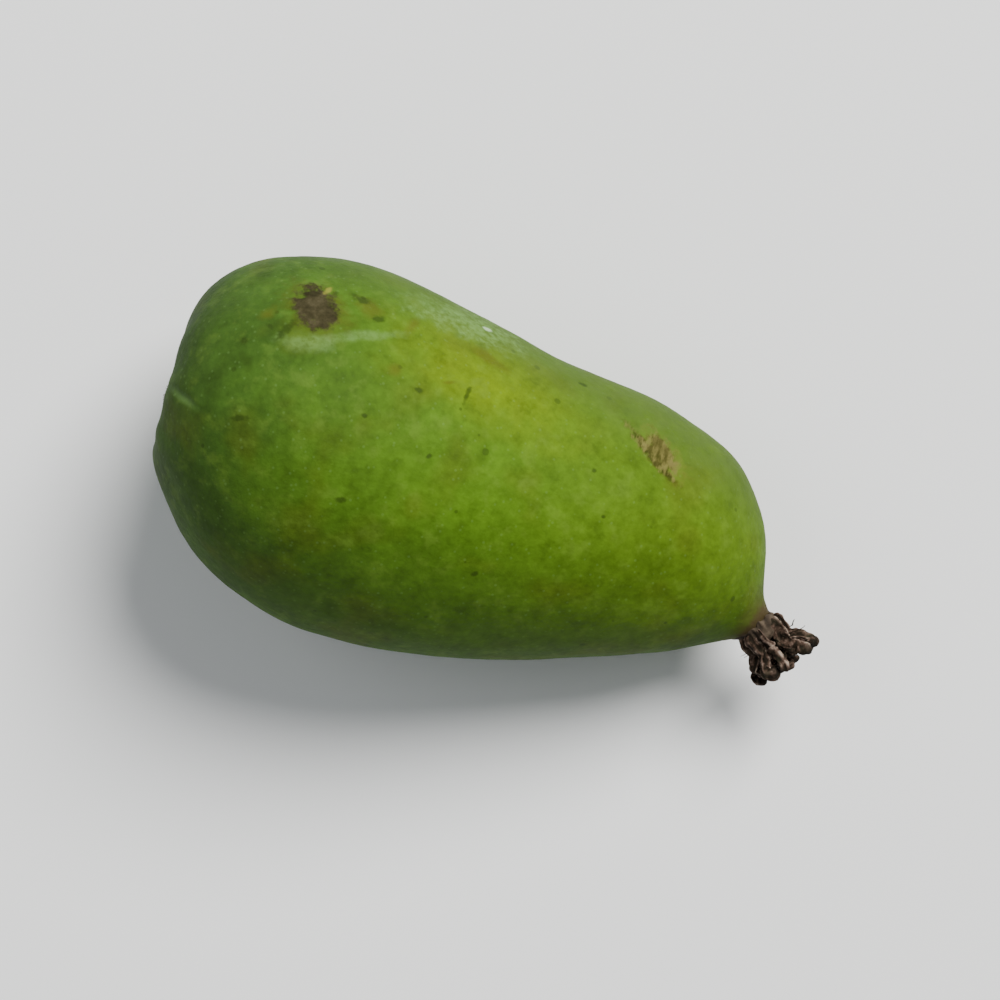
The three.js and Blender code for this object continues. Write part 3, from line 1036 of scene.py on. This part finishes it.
# Along the stub as a share of its length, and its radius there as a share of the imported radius.
# The last five are on the broken face, which is dished.
STUB_PROFILE = [
    (0.0, 0.5),
    (0.06, 0.8),
    (0.2, 1.0),
    (0.42, 0.9),
    (0.7, 0.83),
    (0.93, 0.84),
    (1.0, 0.78),
    (0.98, 0.64),
    (0.92, 0.45),
    (0.86, 0.25),
    (0.9, 0.08),
]


def broken_stub():
    """The stalk's stub: wrinkled bark, a swollen foot in the hollow, and a torn, dished end."""
    low, high = box_mm("stalk_stub")
    length, radius = high[0] - low[0], (high[1] - low[1]) / 2
    profile = spline(np.array(STUB_PROFILE) * (length, radius), STUB_RINGS)
    angle = np.linspace(0, 2 * math.pi, STUB_SIDES, endpoint=False)
    about = np.stack([0 * angle, np.sin(angle), np.cos(angle)], axis=1)
    rings = profile[:, None, 1:] * about + (high[0] - profile[:, :1, None]) * (1.0, 0.0, 0.0)
    bark_wrinkles = ripple(rings * (0.5, 1, 1) + about * radius, 0.5, 5)
    rough = ripple(rings, 0.22, 8)
    at_face = np.clip((np.arange(STUB_RINGS) / STUB_RINGS - FACE_START) / 0.1, 0, 1)[:, None]
    rings = rings + about * ((1 - at_face) * 0.08 * bark_wrinkles + 0.03 * rough)[..., None]
    rings[..., 0] -= at_face * 0.14 * ripple(rings * (0, 1, 1), 0.16, 3)
    rings = rings + (0.0, STUB[1], STUB[2])
    points = np.vstack([rings.reshape(-1, 3), rings[0].mean(0), rings[-1].mean(0)])
    # ridge: the broken face is paler wood; on the bark the wrinkles' crests are paler and their folds
    # darker, as painted highlight and shade.
    ridge = np.clip(0.35 + 0.9 * bark_wrinkles + 0.5 * rough + 0.45 * at_face, 0, 1)
    values = {"ridge": np.append(ridge.ravel(), [0.2, 0.3])}
    thing = add_thing("broken_stub", points, ring_faces(STUB_RINGS, STUB_SIDES), bark, values)
    declare(thing, "cork", "stalk_stub")
    return np.array([low[0] + FIBRE_DEPTH, STUB[1], STUB[2]])


FIBRE_DEPTH = 0.12  # how far under the end of the stub its fibres start
STUB_FIBRES = {  # lengths in millimetres
    "Count": 90,
    "Spread": 0.82,
    "Length": 0.42,
    "Thickness": 0.032,
    "Crinkle": 0.16,
}


# ---- making the object -----------------------------------------------------------------------------

skin = berry_skin_material()
dried = dried_style_material()
boss_wood = woody_material("withered_boss", linear("201a11"), linear("3a3025"), linear("574b3d"), 0.4)
bark = woody_material("stalk_bark", linear("33271a"), linear("6b563d"), linear("a18c6c"), 0.35)
fibre = woody_material("stalk_fibre", linear("5c4a30"), linear("a08c66"), linear("cdbd98"), 0.25)

rounded = smooth_berry()
berry_skin(rounded)
for index, node in enumerate(STYLE_NODES):
    dried_style(node, index)
withered_collar(rounded)
heart = BOSS + 0.2 * TUFT_WAY
threads_piece("dried_filaments", "dried_style", FILAMENTS, dried, heart, TUFT_WAY, (0.2, 0.9), 0.4, 11)
broken_face = broken_stub()
threads_piece("stub_fibres", "cork", STUB_FIBRES, fibre, broken_face, STUB_WAY, (0.0, 0.35), 0.2, 23)

# ---- floor, light and camera -------------------------------------------------------------------------

ROLL = math.radians(17.8)  # turns the view about the vertical
VIEW_WIDTH = 0.066  # metres of the floor that the picture is wide
LENS = 200.0
SENSOR = 36.0
FLOOR_SIZE = 3.0


def make_floor():
    half = FLOOR_SIZE / 2 / MM
    corners = [(-half, -half, 0), (half, -half, 0), (half, half, 0), (-half, half, 0)]
    thing = add_thing("pale_floor", corners, [(0, 1, 2, 3)], floor_material())
    thing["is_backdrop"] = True


def make_camera():
    low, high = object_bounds()
    lens = bpy.data.cameras.new("camera")
    lens.lens, lens.sensor_width = LENS, SENSOR
    lens.clip_start, lens.clip_end = 0.01, 10.0
    camera = bpy.data.objects.new("camera", lens)
    bpy.context.scene.collection.objects.link(camera)
    centre = (low + high) / 2
    camera.location = (centre.x, centre.y, centre.z + VIEW_WIDTH * LENS / SENSOR)
    camera.rotation_euler = (0.0, 0.0, ROLL)
    bpy.context.scene.camera = camera


def make_light(name, right, up, height, size, power, tint):
    """A soft lamp that faces the berry. right and up are metres in the picture's own
    directions, and height is metres above the floor."""
    lamp = bpy.data.lights.new(name, "AREA")
    lamp.shape, lamp.size, lamp.energy, lamp.color = "DISK", size, power, tint
    thing = bpy.data.objects.new(name, lamp)
    x = right * math.cos(ROLL) - up * math.sin(ROLL)
    y = right * math.sin(ROLL) + up * math.cos(ROLL)
    thing.location = (x, y, height)
    thing.rotation_euler = Vector((-x, -y, 0.01 - height)).to_track_quat("-Z", "Y").to_euler()
    bpy.context.scene.collection.objects.link(thing)


def make_sky():
    world = bpy.data.worlds.new("studio")
    world.use_nodes = True
    background = world.node_tree.nodes["Background"]
    background.inputs["Color"].default_value = (0.93, 0.96, 1.0, 1.0)
    background.inputs["Strength"].default_value = 0.24
    bpy.context.scene.world = world


make_floor()
make_camera()
make_light("key", 0.36, 0.5, 0.76, 0.55, 18.0, (1.0, 0.99, 0.965))
make_light("fill", -0.4, 0.1, 0.6, 0.5, 0.9, (0.95, 0.98, 1.0))
make_sky()
